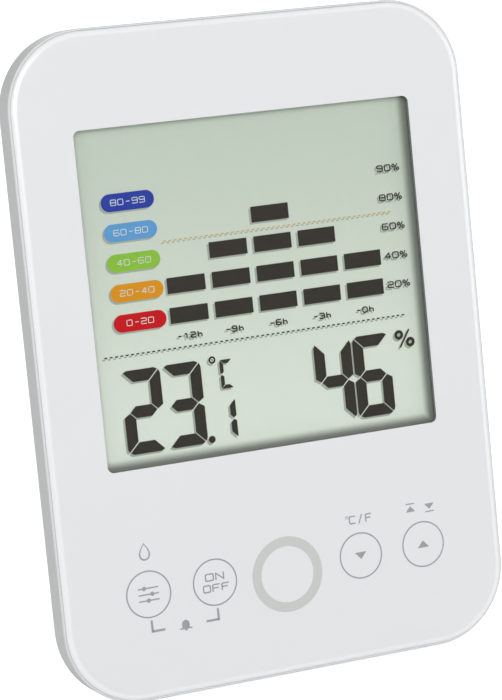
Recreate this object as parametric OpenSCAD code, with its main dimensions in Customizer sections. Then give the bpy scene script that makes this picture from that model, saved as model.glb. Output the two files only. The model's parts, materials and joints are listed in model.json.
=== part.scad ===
// Digital thermo-hygrometer with touch keys, display, battery bay and fold-out stand.
// Every piece is drawn lying face up: X across, Y up the case from its bottom edge, Z out of the face,
// with Z = 0 at the narrow front ledge of the case. The last step stands it up, leaning on its stand.

/* [Case] */
// Width of the case
case_w = 90; // [89:1:96]
// Height of the case
case_h = 123.7; // [123.5:0.1:130]
// Corner radius of the case, seen from the front
corner_r = 14.6; // [13:0.1:16]
// Depth of the side wall
rim_d = 6.1; // [5.9:0.1:6.3]
// Depth of the case behind the front ledge
case_d = 18.2; // [18.1:0.1:19]
// Thickness of the moulded walls
wall = 1.5; // [1.3:0.1:1.6]
// Rounding of the rear edge of the side wall, on which the case stands
edge_r = 0.9; // [0.6:0.1:1]

/* [Front panel] */
// Width of the ledge that shows round the panel
ledge_w = 0.45; // [0.4:0.05:0.6]
// Open joint between ledge and panel
joint_gap = 0.03; // [0.02:0.01:0.2]
// How far the panel stands proud of the ledge
panel_proud = 0.6; // [0.5:0.1:1.4]
// Thickness of the panel
panel_t = 1.5; // [1.3:0.1:1.5]
// Width of the rolled edge of the panel
roll_w = 1.2; // [0.8:0.1:2]

/* [Display] */
// Width of the display window
window_w = 67; // [64:0.1:68]
// Height of the display window
window_h = 62.4; // [60:0.1:62.6]
// Height of the window's lower edge above the bottom of the case
window_y = 43.1; // [42.5:0.1:43.3]
// Corner radius of the window
window_r = 1.2; // [0.8:0.1:2]
// Thickness of each of the two glasses
glass_t = 1.1; // [0.9:0.1:1.1]

/* [Keys and light] */
// Height of the key row
key_y = 20; // [19:0.1:21]
// Distance of the inner keys from the middle
key_inner_x = 15; // [14:0.1:16]
// Distance of the outer keys from the middle
key_outer_x = 28.2; // [27:0.1:29]
// Sideways place of the light ring's centre
ring_x = -0.3; // [-0.5:0.1:0.5]
// Height of the light ring's centre
ring_y = 19; // [18:0.1:20]
// Outer radius of the light ring
ring_r = 7.15; // [6.5:0.05:7.4]
// Radial width of the light ring
ring_w = 1.85; // [1.5:0.05:2.2]

/* [Stand] */
// Backward lean of the case on the open stand, in degrees
lean_back = 13; // [11:1:15]
// Angle between the open stand and the back, in degrees
stand_open = 28; // [25:1:30]
// Width of the stand
stand_w = 40; // [34:1:42]
// Thickness of the stand's leg
stand_t = 2.2; // [2:0.1:2.3]
// Height of the stand's pivot
pivot_y = 51; // [50:0.1:51]

/* [Battery bay] */
// Diameter of a cell
cell_d = 10.5; // [10.3:0.1:10.5]
// Length of a cell with its nub
cell_l = 44.5; // [44:0.1:44.5]
// Lower edge of the battery door
door_y = 56.5; // [56.5:0.1:57]
// Height of the battery door
door_h = 27.5; // [27.5:0.1:28]
// Width of the battery door
door_w = 58; // [58:1:60]

/* [Hidden] */
$fn = 48;
eps = 0.01;

// Levels, from the front to the back
z_face = panel_proud;
z_panel_back = z_face - panel_t;
tape_t = 0.2;
z_shelf = z_panel_back - tape_t;
shelf_t = 1.2;
z_shelf_back = z_shelf - shelf_t;
film_t = 0.2;
z_polarizer = z_shelf - 0.1;
z_front_glass = z_polarizer - film_t;
z_rear_glass = z_front_glass - glass_t;
z_reflector = z_rear_glass - glass_t;
z_holder = z_reflector - film_t;
holder_t = 1;
z_board = -6;
board_t = 1.2;
z_board_back = z_board - board_t;
z_back = -case_d;

// Side wall and rear cover
rim_wall = 2;
rabbet_w = 1.4;
rabbet_z = -(rim_d - 1.55);
cover_inset = rabbet_w + 0.1;
pod_inset = 4.5;
pod_slope = 2;
pod_round = 2.5;
pod_w = case_w - 2 * pod_inset;
pod_h = case_h - 2 * pod_inset;
pod_r = corner_r - pod_inset;

// Display
window_mid_y = window_y + window_h / 2;
pane_flange = 1.5;
glass_x = window_w / 2 + 2.3;
glass_top = window_y + window_h + 1.2;
glass_bottom = window_y - 4.5;
rear_glass_bottom = glass_bottom + 3;
holder_wall = 0.9;

// Screws
screw_x = case_w / 2 - 13.5;
screw_ys = [12.9, case_h - 12.9];
boss_r = 3;
boss_z = -8;
head_z = -9.8;
board_screw_y = 33.5;
board_screw_xs = [-34.5, 0, 34.5];

// Stand
pivot_z = z_back + 2;
barrel_r = 1.6;
pin_r = 1;
pin_play = 0.05;
pin_l = 2;
leg_off = stand_t / 2 - 2;
recess_gap = 0.4;
leg_taper = 5;
recess_x = stand_w / 2 + recess_gap;
recess_top = pivot_y + 2.6;
recess_z = z_back + stand_t + 0.3;
foot_r = stand_t / 2;
spread = stand_open - lean_back;
edge_y = edge_r;
edge_z = -(rim_d - edge_r);
leg_l = ((pivot_y - edge_y) * cos(lean_back) - (edge_z - pivot_z) * sin(lean_back)
    - leg_off * sin(spread) + edge_r - foot_r) / cos(spread);

// Battery bay
bay_x = 26;
bay_wall = 1.2;
bay_y = door_y + 1.5;
bay_h = door_h - 3;
bay_floor_z = -6;
bay_floor_t = 1;
door_t = 1.4;
door_z = z_back + door_t;
door_top = door_y + door_h;
door_gap = 0.15;
tab_xs = [-16, 16];
tab_w = 6;
cell_r = cell_d / 2;
cell_z = bay_floor_z - 0.1 - cell_r;
cell_ys = [bay_y + bay_h / 2 - 6, bay_y + bay_h / 2 + 6];
cell_end = 21;
nub_l = 0.8;

// Keyhole for hanging
hook_y = 99;
hook_r = 3.75;
hook_slot_w = 3.6;
hook_slot_l = 7;
hook_pocket = 5;

// Standing place: the rear edge of the side wall and the stand's foot touch the floor
function world_y(y, z) = -z * cos(lean_back) + y * sin(lean_back);
function world_z(y, z) = z * sin(lean_back) + y * cos(lean_back);
lift = edge_r - world_z(edge_y, edge_z);
front_most = world_y(ledge_w + joint_gap + roll_w, 0)
    - norm([panel_proud * cos(lean_back), roll_w * sin(lean_back)]);
rear_most = world_y(case_h - pod_inset - pod_slope - pod_round, z_back + pod_round) + pod_round;
shift = -(front_most + rear_most) / 2;

// Points of an arc; rx and ry let it be part of an ellipse
function arc(cx, cy, rx, ry, from, to, n) =
    [for (i = [0:n]) let (a = from + (to - from) * i / n) [cx + rx * cos(a), cy + ry * sin(a)]];

function key_xs() = [-key_outer_x, -key_inner_x, key_inner_x, key_outer_x];

// Stands a piece up from its lying position
module stood() {
    translate([0, shift, lift]) rotate([90 - lean_back, 0, 0]) children();
}

// Rounded rectangle centred on the origin
module round_rect(w, h, r) {
    polygon(concat(arc(w / 2 - r, h / 2 - r, r, r, 0, 90, 8), arc(r - w / 2, h / 2 - r, r, r, 90, 180, 8),
        arc(r - w / 2, r - h / 2, r, r, 180, 270, 8), arc(w / 2 - r, r - h / 2, r, r, 270, 360, 8)));
}

// Slab between two levels, in plan a rounded rectangle about the given height
module slab(w, h, r, y, low, high) {
    translate([0, y, low]) linear_extrude(high - low) round_rect(w, h, r);
}

// Slab in the outline of the case, set in by a margin
module case_slab(inset, low, high) {
    slab(case_w - 2 * inset, case_h - 2 * inset, corner_r - inset, case_h / 2, low, high);
}

// Block from x0 to x1, y0 to y1 and low to high
module block(x0, x1, y0, y1, low, high) {
    translate([x0, y0, low]) cube([x1 - x0, y1 - y0, high - low]);
}

// Disc or bar with its axis along Z
module disc(x, y, r, low, high) {
    translate([x, y, low]) cylinder(r = r, h = high - low);
}

// Plate whose edge has one profile all round; its points are [inset, level] from back to front
module edged_plate(w, h, r, profile) {
    low = profile[0][1];
    high = profile[len(profile) - 1][1];
    section = concat([[0, low]], [for (p = profile) [r - p[0], p[1]]], [[0, high]]);
    dx = w / 2 - r;
    dy = h / 2 - r;
    translate([0, case_h / 2, 0]) {
        translate([-dx, -dy, low]) cube([2 * dx, 2 * dy, high - low]);
        for (i = [0:3]) {
            long = i % 2 == 0 ? dy : dx;
            out = i % 2 == 0 ? dx : dy;
            rotate([0, 0, 90 * i]) {
                translate([out, 0, 0]) rotate([90, 0, 0])
                    linear_extrude(2 * long, center = true) polygon(section);
                translate([out, long, 0]) rotate_extrude(angle = 90, $fn = 64) polygon(section);
            }
        }
    }
}

// Coil spring standing on Z = 0, its wire swept along a cone or cylinder
module coil(r_low, r_high, height, turns, wire_r) {
    steps = turns * 12;
    sides = 6;
    rings = [for (i = [0:steps]) let (
        f = i / steps,
        a = 30 * i,
        r = r_low + (r_high - r_low) * f,
        z = wire_r + (height - 2 * wire_r) * f
    ) for (j = [0:sides - 1]) let (b = 360 * j / sides)
        [(r + wire_r * cos(b)) * cos(a), (r + wire_r * cos(b)) * sin(a), z + wire_r * sin(b)]];
    skin = [for (i = [0:steps - 1], j = [0:sides - 1]) let (k = (j + 1) % sides)
        [i * sides + j, i * sides + k, (i + 1) * sides + k, (i + 1) * sides + j]];
    first = [for (j = [0:sides - 1]) sides - 1 - j];
    last = [for (j = [0:sides - 1]) steps * sides + j];
    polyhedron(rings, concat([first], skin, [last]), convexity = 6);
}

// Pan-head screw pointing to +Z with the underside of its head at Z = 0
module screw(shank_r, length, head_r, head_h) {
    difference() {
        union() {
            cylinder(r = shank_r, h = length);
            translate([0, 0, -head_h]) cylinder(r = head_r, h = head_h);
        }
        for (a = [0, 90]) rotate([0, 0, a])
            translate([-head_r * 0.65, -0.35, -head_h - eps]) cube([head_r * 1.3, 0.7, head_h * 0.6]);
    }
}

module front_panel() {
    margin = ledge_w + joint_gap;
    color("whitesmoke") difference() {
        edged_plate(case_w - 2 * margin, case_h - 2 * margin, corner_r - margin,
            concat([[0, z_panel_back]], arc(roll_w, 0, roll_w, panel_proud, 180, 90, 16)));
        slab(window_w, window_h, window_r, window_mid_y, z_panel_back - 1, z_face + 1);
        slab(window_w + 2 * pane_flange, window_h + 2 * pane_flange, window_r, window_mid_y,
            z_panel_back - 1, z_panel_back + 0.8);
        translate([ring_x, ring_y, z_face - 0.8]) ring_body(ring_r, ring_w, 2);
    }
}

// Flat ring with its underside at Z = 0
module ring_body(r, w, t) {
    difference() {
        cylinder(r = r, h = t, $fn = 96);
        translate([0, 0, -1]) cylinder(r = r - w, h = t + 2, $fn = 96);
    }
}

module light_ring() {
    color("lightgray") translate([ring_x, ring_y, z_face - 0.8]) ring_body(ring_r, ring_w, 0.8);
}

module light_guide() {
    guide_low = z_board + 1.1;
    color("white") translate([ring_x, ring_y, guide_low]) ring_body(ring_r, ring_w, z_panel_back - guide_low);
}

module display_window() {
    color("azure", 0.4) {
        slab(window_w, window_h, window_r, window_mid_y, z_panel_back + 0.8, z_face);
        slab(window_w + 2 * pane_flange, window_h + 2 * pane_flange, window_r, window_mid_y,
            z_panel_back, z_panel_back + 0.8);
    }
}

// Openings that the case shelf and the tape share: display, springs and light guide
module shelf_openings(low, high) {
    block(-glass_x - 0.3, glass_x + 0.3, glass_bottom - 0.3, glass_top + 0.3, low, high);
    for (x = key_xs()) disc(x, key_y, 4.6, low, high);
    disc(ring_x, ring_y, ring_r + 0.4, low, high);
}

module panel_tape() {
    color("gray") difference() {
        case_slab(1.2, z_shelf, z_panel_back);
        shelf_openings(z_shelf - 1, z_panel_back + 1);
    }
}

module case_frame() {
    color("gainsboro") difference() {
        union() {
            difference() {
                edged_plate(case_w, case_h, corner_r,
                    concat(arc(edge_r, edge_z, edge_r, edge_r, 270, 180, 10), [[0, -0.2], [0.2, 0]]));
                edged_plate(case_w - 2 * ledge_w, case_h - 2 * ledge_w, corner_r - ledge_w,
                    [[0, z_shelf], [0, 1]]);
                case_slab(rim_wall, -rim_d - 1, z_shelf_back);
                case_slab(rabbet_w, -rim_d - 1, rabbet_z);
            }
            for (x = [-screw_x, screw_x], y = screw_ys) disc(x, y, boss_r, boss_z, z_shelf_back + eps);
            for (x = board_screw_xs) disc(x, board_screw_y, 2.2, z_board, z_shelf_back + eps);
            shelf_ribs();
        }
        shelf_openings(z_shelf_back - 1, z_shelf + 1);
        for (x = [-screw_x, screw_x], y = screw_ys) disc(x, y, 1.15, boss_z - 1, z_shelf_back - 0.6);
        for (x = board_screw_xs) disc(x, board_screw_y, 0.85, z_board - 1, z_shelf_back - 0.4);
    }
}

// Stiffening ribs on the back of the shelf, below and above the display
module shelf_ribs() {
    rib_low = z_shelf_back - 1.4;
    for (y = [9, 30]) block(-24, 24, y - 0.5, y + 0.5, rib_low, z_shelf_back + eps);
    for (x = [-21.7, 21.7]) block(x - 0.5, x + 0.5, 9, 30, rib_low, z_shelf_back + eps);
    block(-26, 26, case_h - 8.5, case_h - 7.5, rib_low, z_shelf_back + eps);
}

// Outer form of the raised back, or its hollow when t is the wall thickness
module pod(t, front) {
    edged_plate(pod_w, pod_h, pod_r, concat(
        arc(pod_slope + pod_round, z_back + pod_round, pod_round - t, pod_round - t, 270, 180, 12),
        [[t, -rim_d], [t, front]]));
}

module rear_cover() {
    color("gainsboro") difference() {
        union() {
            difference() {
                union() {
                    case_slab(cover_inset, -rim_d, rabbet_z);
                    pod(0, rabbet_z);
                }
                pod(wall, rabbet_z + 1);
            }
            bay_walls();
            stand_bed();
            screw_wells();
            hook_walls();
        }
        bay_hollow();
        stand_recess();
        for (x = [-screw_x, screw_x], y = screw_ys) {
            disc(x, y, 2.75, z_back - 1, head_z);
            disc(x, y, 1.5, z_back - 1, boss_z + 1);
        }
        keyhole();
        vents();
    }
}

module bay_walls() {
    block(-bay_x - bay_wall, bay_x + bay_wall, bay_y - bay_wall, bay_y + bay_h + bay_wall,
        z_back + 0.5, bay_floor_z + bay_floor_t);
    slab(door_w + 3, door_h + 2.6, 2.5, door_y + door_h / 2, z_back + 0.5, door_z + 1.3);
}

module bay_hollow() {
    block(-bay_x, bay_x, bay_y, bay_y + bay_h, z_back - 1, bay_floor_z);
    slab(door_w + 2 * door_gap, door_h + 2 * door_gap, 2 + door_gap, door_y + door_h / 2,
        z_back - 1, door_z);
    for (x = tab_xs, start = [[door_y - 1.5, door_z + 0.05], [door_y - door_gap, door_z - 0.1]])
        block(x - tab_w / 2 - 0.3, x + tab_w / 2 + 0.3, start[0], bay_y + 1, start[1], door_z + 2.1);
    disc(0, door_top + 1, 3.6, z_back - 1, z_back + 0.7);
}

// Solid bed behind the folded stand, with a lug at each end of its barrel
module stand_bed() {
    intersection() {
        pod(0, rabbet_z);
        union() {
            block(-recess_x - wall, recess_x + wall, 0, recess_top + wall, z_back, recess_z + wall);
            block(-recess_x - 3.2, recess_x + 3.2, pivot_y - 3.5, recess_top + wall, z_back, pivot_z + 3.3);
        }
    }
}

module stand_recess() {
    block(-recess_x, recess_x, -1, recess_top, z_back - 1, recess_z);
    translate([-recess_x, pivot_y, pivot_z]) rotate([0, 90, 0])
        cylinder(r = barrel_r + 0.35, h = 2 * recess_x);
    block(-recess_x, recess_x, pivot_y - barrel_r - 0.35, pivot_y + barrel_r + 0.35, z_back - 1, pivot_z);
    translate([-recess_x - pin_l - 0.3, pivot_y, pivot_z]) rotate([0, 90, 0])
        cylinder(r = pin_r + pin_play, h = 2 * (recess_x + pin_l + 0.3));
}

module screw_wells() {
    for (x = [-screw_x, screw_x], y = screw_ys) disc(x, y, 4.2, z_back + 0.5, boss_z - 0.05);
}

module hook_walls() {
    block(-hook_r - 2.2, hook_r + 2.2, hook_y - hook_r - 2.2, hook_y + hook_slot_l + 4.2,
        z_back + 0.5, z_back + hook_pocket + 1.2);
}

// Round mouth with a slot above it, and the pocket behind in which a screw head rides up
module keyhole() {
    disc(0, hook_y, hook_r, z_back - 1, z_back + hook_pocket);
    disc(0, hook_y + hook_slot_l, hook_slot_w / 2, z_back - 1, z_back + hook_pocket);
    block(-hook_slot_w / 2, hook_slot_w / 2, hook_y, hook_y + hook_slot_l, z_back - 1, z_back + hook_pocket);
    block(-hook_r - 0.8, hook_r + 0.8, hook_y - hook_r - 0.8, hook_y + hook_slot_l + 2.8,
        z_back + wall, z_back + hook_pocket);
}

// Air slots for the sensor on one side and the buzzer on the other
module vents() {
    for (side = [-1, 1], i = [0:5])
        translate([side * 29, 20 + 3.6 * i, z_back - 1]) linear_extrude(4) {
            square([7, 1.5], center = true);
            for (end = [-3.5, 3.5]) translate([end, 0]) circle(r = 0.75, $fn = 24);
        }
}

module battery_door() {
    color("gainsboro") {
        difference() {
            slab(door_w, door_h, 2, door_y + door_h / 2, z_back, door_z);
            for (x = [-6, 6])
                block(x - 0.4, x + 0.4, door_top - 8, door_top + 1, z_back - 1, door_z + 1);
            for (i = [0:4])
                block(-4, 4, door_top - 6.6 + 1.2 * i, door_top - 6 + 1.2 * i, z_back - 1, z_back + 0.35);
        }
        for (x = tab_xs) {
            block(x - tab_w / 2, x + tab_w / 2, bay_y + 0.1, bay_y + 2, door_z - eps, door_z + 1.1);
            block(x - tab_w / 2, x + tab_w / 2, door_y - 1.2, bay_y + 2, door_z + 0.2, door_z + 1.1);
        }
    }
}

// The leg is drawn folded about its barrel, then swung open
module stand() {
    color("gainsboro") translate([0, pivot_y, pivot_z]) rotate([stand_open, 0, 0]) {
        rotate([0, 90, 0]) cylinder(r = barrel_r, h = stand_w, center = true);
        rotate([0, 90, 0]) cylinder(r = pin_r, h = stand_w + 2 * pin_l, center = true);
        difference() {
            stand_leg();
            stand_window();
        }
    }
}

// Side of the leg, which narrows in a curve towards the foot
function leg_side(side, steps) = [for (i = steps) let (a = 90 * i / 12)
    [side * (stand_w / 2 - leg_taper * (1 - cos(a))), -leg_l * (0.4 + 0.6 * i / 12)]];

module stand_leg() {
    top = leg_off + stand_t / 2;
    foot_w = stand_w - 2 * leg_taper;
    block(-stand_w / 2, stand_w / 2, 0, 1.5, leg_off - stand_t / 2, top);
    translate([0, 0, leg_off - stand_t / 2]) linear_extrude(stand_t)
        polygon(concat([[-stand_w / 2, 0]], leg_side(-1, [0:12]), leg_side(1, [12:-1:0]),
            [[stand_w / 2, 0]]));
    translate([0, -leg_l, leg_off]) rotate([0, 90, 0]) cylinder(r = foot_r, h = foot_w, center = true);
}

// Long opening that leaves the leg a frame
module stand_window() {
    translate([0, -leg_l * 0.47, -5]) linear_extrude(10) round_rect(stand_w - 15, leg_l * 0.55, 3);
}

module lcd_holder() {
    x = glass_x + 0.1;
    color("white") difference() {
        block(-x - holder_wall, x + holder_wall, glass_bottom - 0.1 - holder_wall, glass_top + holder_wall,
            z_holder - holder_t, z_shelf_back);
        block(-x, x, glass_bottom - 0.1, glass_top + 0.1, z_holder, z_shelf_back + 1);
        block(-31, 31, glass_bottom + 0.3, glass_bottom + 2.7, z_holder - 2, z_holder + 1);
        for (i = [-1, 1]) block(i * 17 - 14, i * 17 + 14, 48, 102, z_holder - 2, z_holder + 1);
    }
}

module lcd_front_polarizer() {
    color("honeydew") block(-glass_x + 0.5, glass_x - 0.5, rear_glass_bottom, glass_top - 0.5,
        z_front_glass, z_polarizer);
}

module lcd_front_glass() {
    color("lightcyan") block(-glass_x, glass_x, glass_bottom, glass_top, z_rear_glass, z_front_glass);
}

module lcd_rear_glass() {
    color("lightcyan") block(-glass_x, glass_x, rear_glass_bottom, glass_top, z_reflector, z_rear_glass);
}

module lcd_reflector() {
    color("silver") block(-glass_x + 0.5, glass_x - 0.5, rear_glass_bottom, glass_top - 0.5,
        z_holder, z_reflector);
}

module zebra_strip() {
    color("dimgray") block(-30.5, 30.5, glass_bottom + 0.5, glass_bottom + 2.5, z_board, z_rear_glass);
}

module circuit_board() {
    color("seagreen") difference() {
        slab(76, 36, 6, 26, z_board_back, z_board);
        for (x = [-screw_x, screw_x]) disc(x, screw_ys[0], boss_r + 0.4, z_board_back - 1, z_board + 1);
        for (x = board_screw_xs) disc(x, board_screw_y, 1.1, z_board_back - 1, z_board + 1);
    }
}

// Flat package with a row of pins on each side
module main_chip() {
    color("dimgray") translate([-9, 26, z_board_back - 1.5]) {
        translate([-5, -5, 0]) cube([10, 10, 1.4]);
        for (a = [0:90:270], i = [-4:4])
            rotate([0, 0, a]) translate([4.9, i - 0.2, 0.9]) cube([1.5, 0.4, 0.6]);
    }
}

module quartz_crystal() {
    color("silver") translate([6, 27, z_board_back - 1.1]) rotate([0, 90, 0]) cylinder(r = 1.1, h = 6);
}

module capacitors() {
    color("tan") for (i = [0:3])
        block(4 + 4.5 * i, 6 + 4.5 * i, 19, 20.2, z_board_back - 1, z_board_back);
}

module humidity_sensor() {
    color("white") difference() {
        block(-32.5, -28.5, 25, 29, z_board_back - 1.4, z_board_back);
        disc(-30.5, 27, 1, z_board_back - 2, z_board_back - 0.7);
    }
}

module thermistor() {
    color("black") {
        for (x = [-26.6, -25.4]) disc(x, 23, 0.2, z_board_back - 2.6, z_board_back);
        translate([-26, 23, z_board_back - 3.2]) sphere(r = 1.1, $fn = 32);
    }
}

module piezo_buzzer() {
    color("black") difference() {
        disc(26, 25, 6, z_board_back - 3.6, z_board_back);
        disc(26, 25, 0.9, z_board_back - 4, z_board_back - 2);
    }
}

module status_leds() {
    color("lightyellow") for (i = [0:2])
        translate([ring_x, ring_y, 0]) rotate([0, 0, 90 + 120 * i]) translate([ring_r - ring_w / 2, 0, z_board])
            translate([-0.8, -1, 0]) cube([1.6, 2, 1]);
}

module touch_springs() {
    color("silver") for (x = key_xs())
        translate([x, key_y, z_board]) coil(3.6, 3.6, z_panel_back - z_board, 4, 0.25);
}

// Cell with its nub towards +X; the second cell lies the other way round
module cell() {
    body = cell_l - nub_l;
    translate([-cell_end, 0, 0]) rotate([0, 90, 0]) {
        cylinder(r = cell_r, h = body);
        cylinder(r = 1.9, h = cell_l);
    }
}

module battery_cell_1() {
    color("steelblue") translate([0, cell_ys[0], cell_z]) cell();
}

module battery_cell_2() {
    color("steelblue") translate([0, cell_ys[1], cell_z]) rotate([0, 0, 180]) cell();
}

module battery_springs() {
    color("silver") for (i = [0, 1]) translate([0, cell_ys[i], cell_z]) rotate([0, 0, 180 * i]) {
        translate([-bay_x, -4.5, -4.5]) cube([0.4, 9, 9]);
        translate([-bay_x + 0.4, 0, 0]) rotate([0, 90, 0]) coil(3.8, 2.4, bay_x - 0.4 - cell_end, 3, 0.35);
    }
}

module battery_plates() {
    color("silver") for (i = [0, 1]) translate([0, cell_ys[i], cell_z]) rotate([0, 0, 180 * i]) {
        translate([bay_x - 0.4, -4.5, -4.5]) cube([0.4, 9, 9]);
        translate([cell_l - cell_end, 0, 0]) rotate([0, 90, 0])
            cylinder(r1 = 1.5, r2 = 2.8, h = bay_x - 0.4 - cell_l + cell_end);
    }
}

module case_screws() {
    color("silver") for (x = [-screw_x, screw_x], y = screw_ys)
        translate([x, y, head_z]) screw(1.1, 6.4, 2.5, 1.8);
}

module board_screws() {
    color("silver") for (x = board_screw_xs)
        translate([x, board_screw_y, z_board_back]) screw(0.8, 4, 1.7, 1.2);
}

stood() front_panel();
stood() light_ring();
stood() display_window();
stood() panel_tape();
stood() case_frame();
stood() rear_cover();
stood() battery_door();
stood() stand();
stood() lcd_holder();
stood() lcd_front_polarizer();
stood() lcd_front_glass();
stood() lcd_rear_glass();
stood() lcd_reflector();
stood() zebra_strip();
stood() circuit_board();
stood() main_chip();
stood() quartz_crystal();
stood() capacitors();
stood() humidity_sensor();
stood() thermistor();
stood() piezo_buzzer();
stood() status_leds();
stood() light_guide();
stood() touch_springs();
stood() battery_springs();
stood() battery_plates();
stood() battery_cell_1();
stood() battery_cell_2();
stood() case_screws();
stood() board_screws();
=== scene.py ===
"""Looks of a digital thermo-hygrometer with a display, touch keys and a fold-out stand.

New pieces are drawn lying face up, in metres: X across, Y up the case from its bottom edge and Z out of
the face, with Z = 0 at the case's front ledge. Their meshes are then stood up to where the case leans.
"""

import json
import math

import bpy
from bpy.props import FloatProperty, FloatVectorProperty, PointerProperty, StringProperty
from mathutils import Euler, Matrix, Vector

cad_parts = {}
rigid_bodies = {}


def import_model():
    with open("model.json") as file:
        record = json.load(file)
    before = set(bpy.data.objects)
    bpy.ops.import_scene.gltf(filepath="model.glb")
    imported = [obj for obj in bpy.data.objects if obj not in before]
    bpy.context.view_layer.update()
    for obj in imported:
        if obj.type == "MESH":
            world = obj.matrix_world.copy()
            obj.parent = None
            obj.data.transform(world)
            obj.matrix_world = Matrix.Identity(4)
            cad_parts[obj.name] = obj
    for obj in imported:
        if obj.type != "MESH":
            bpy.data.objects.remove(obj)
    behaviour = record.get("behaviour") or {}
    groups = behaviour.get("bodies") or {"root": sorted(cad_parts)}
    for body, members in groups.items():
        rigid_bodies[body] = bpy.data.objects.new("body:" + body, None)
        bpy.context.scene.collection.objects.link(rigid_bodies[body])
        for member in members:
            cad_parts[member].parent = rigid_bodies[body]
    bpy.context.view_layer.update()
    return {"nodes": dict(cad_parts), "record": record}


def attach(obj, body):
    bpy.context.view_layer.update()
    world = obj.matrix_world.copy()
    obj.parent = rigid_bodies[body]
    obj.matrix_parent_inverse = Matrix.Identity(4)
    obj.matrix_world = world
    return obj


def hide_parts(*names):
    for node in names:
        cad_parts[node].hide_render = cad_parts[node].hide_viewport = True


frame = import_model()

bl_info = {
    "name": "Thermo-hygrometer looks",
    "version": (1, 0, 0),
    "blender": (4, 5, 0),
    "location": "View3D > Sidebar > Hygrometer",
    "description": "Front plate, display contents, key prints and finishes of a thermo-hygrometer",
    "category": "Add Mesh",
}

MM = 0.001
CASE = "case"

# Where the case stands: the wall hook looks straight out of its back
ACROSS = Vector((1, 0, 0))
OUT = -Vector(frame["record"]["mounts"][0]["axis"])
UP = OUT.cross(ACROSS)
TURN = Matrix((ACROSS, UP, OUT)).transposed().to_4x4()


def flat_span(node, turned):
    """Lowest and highest corner of a CAD node after the inverse of a turn."""
    back = turned.inverted()
    points = [back @ v.co for v in frame["nodes"][node].data.vertices]
    low = Vector(min(p[i] for p in points) for i in range(3))
    high = Vector(max(p[i] for p in points) for i in range(3))
    return low, high


LEDGE = flat_span("case_frame", TURN)
PLACE = TURN @ Matrix.Translation((0, LEDGE[0].y, LEDGE[1].z))
LEAN = PLACE.to_euler().x


def span(node):
    """Lowest and highest corner of a CAD node in the lying position."""
    return flat_span(node, PLACE)


PLATE = span("front_panel")
PANE = span("display_window")
FILM = span("lcd_front_polarizer")
RING = span("light_ring")
SPRINGS = span("touch_springs")
WINDOW_Y = (PANE[0].y + PANE[1].y) / 2

# How far a cutter reaches past what it cuts, and how close points are merged
PAST = 1 * MM
WELD = MM / 500


def mm(*values):
    """Lengths given in millimetres, in metres."""
    return tuple(value * MM for value in values)


def shade(red, green, blue):
    """Linear colour of a shade given as a screen shows it, 0 to 255."""
    return tuple(c / 3294.6 if c < 11 else ((c / 255 + 0.055) / 1.055) ** 2.4 for c in (red, green, blue))


def length(label, text, value):
    """Property for a size, its default given in millimetres."""
    return FloatProperty(name=label, description=text, default=value * MM, precision=5,
                         unit="LENGTH", subtype="DISTANCE")


def colour(label, text, *rgb):
    """Property for a colour, its default given as a screen shows it."""
    return FloatVectorProperty(name=label, description=text, default=shade(*rgb), size=3, min=0, max=1,
                               subtype="COLOR")


def angle(label, text, degrees):
    """Property for an angle, its default given in degrees."""
    return FloatProperty(name=label, description=text, default=math.radians(degrees),
                         unit="ROTATION", subtype="ANGLE")


def brightness(label, text, value):
    """Property for how bright a light is."""
    return FloatProperty(name=label, description=text, default=value, min=0)


class PlateLooks(bpy.types.PropertyGroup):
    """Sizes and colours of the front plate, the pane and the prints on the keys."""

    white: colour("Plate white", "Glossy white of the front plate", 233, 234, 236)
    # Edge white is a painted highlight: the rolled edge is painted whiter than the face
    painted_edge_highlight: colour("Edge white", "Lighter white of the front plate's rolled edge", 245, 246, 248)
    moulded: colour("Case white", "Satin white of the case, back cover and stand", 227, 228, 228)
    ring: colour("Ring grey", "Pale grey of the light ring", 203, 205, 203)
    case_r: length("Case corner", "Corner radius of the case", 14.6)
    roll: length("Rolled edge", "Width of the plate's rolled edge", 1.4)
    groove: length("Ring groove", "Width of the groove that holds the light ring", 1.85)
    step: length("Pane step", "Depth of the step that the pane's flange sits in", 0.8)
    window_r: length("Window corner", "Corner radius of the display window", 1.2)
    flange: length("Pane flange", "Width of the pane's hidden flange", 1.5)
    seam: length("Pane seam", "Open seam round the pane", 0.07)
    ink: colour("Print grey", "Grey of the prints round and on the keys", 158, 160, 166)
    ink_t: length("Print thickness", "Thickness of the printed ink", 0.02)
    line: length("Key line", "Width of the printed circles", 0.27)
    key_r: length("Key circle", "Outer radius of the printed circles", 4.44)


class DisplayLooks(bpy.types.PropertyGroup):
    """Sizes and colours of what the display shows."""

    top: colour("Display top", "Grey green of the display at its upper edge", 198, 209, 195)
    bottom: colour("Display bottom", "Grey green of the display at its lower edge", 223, 231, 219)
    # Display edge is a painted shade: the shadow of the window's right and lower walls, painted onto the
    # film
    edge: colour("Display edge", "Dark shade along the right and lower edges", 130, 136, 128)
    right_shade: length("Right shade", "Width of the dark shade along the right edge", 1.95)
    low_shade: length("Lower shade", "Width of the dark shade along the lower edge", 2.15)
    segment: colour("Segment", "Brown black of a segment that is on", 46, 41, 33)
    ghost: colour("Segment shadow", "Shadow that a segment throws on the reflector", 165, 173, 162)
    mark: colour("Warning line", "Orange of the dashed warning line", 212, 174, 92)
    script: colour("Band numbers", "Pale numbers on the coloured bands", 216, 224, 222)
    digit_w: length("Digit width", "Width of a large digit", 7.76)
    digit_h: length("Digit height", "Height of a large digit", 15.53)
    stroke: length("Digit stroke", "Width of a large digit's segments", 2.2)
    gap: length("Segment gap", "Clear gap between two segments", 0.21)
    bar_w: length("Bar width", "Width of a block of the chart", 7.59)
    bar_h: length("Bar height", "Height of a block of the chart", 2.95)
    temperature: StringProperty(name="Temperature", description="Whole degrees on the display", default="23")
    humidity: StringProperty(name="Humidity", description="Percent of humidity on the display", default="46")
    tilt: angle("Glass tilt", "How far the glass lies turned in its tray", 0.26)


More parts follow.
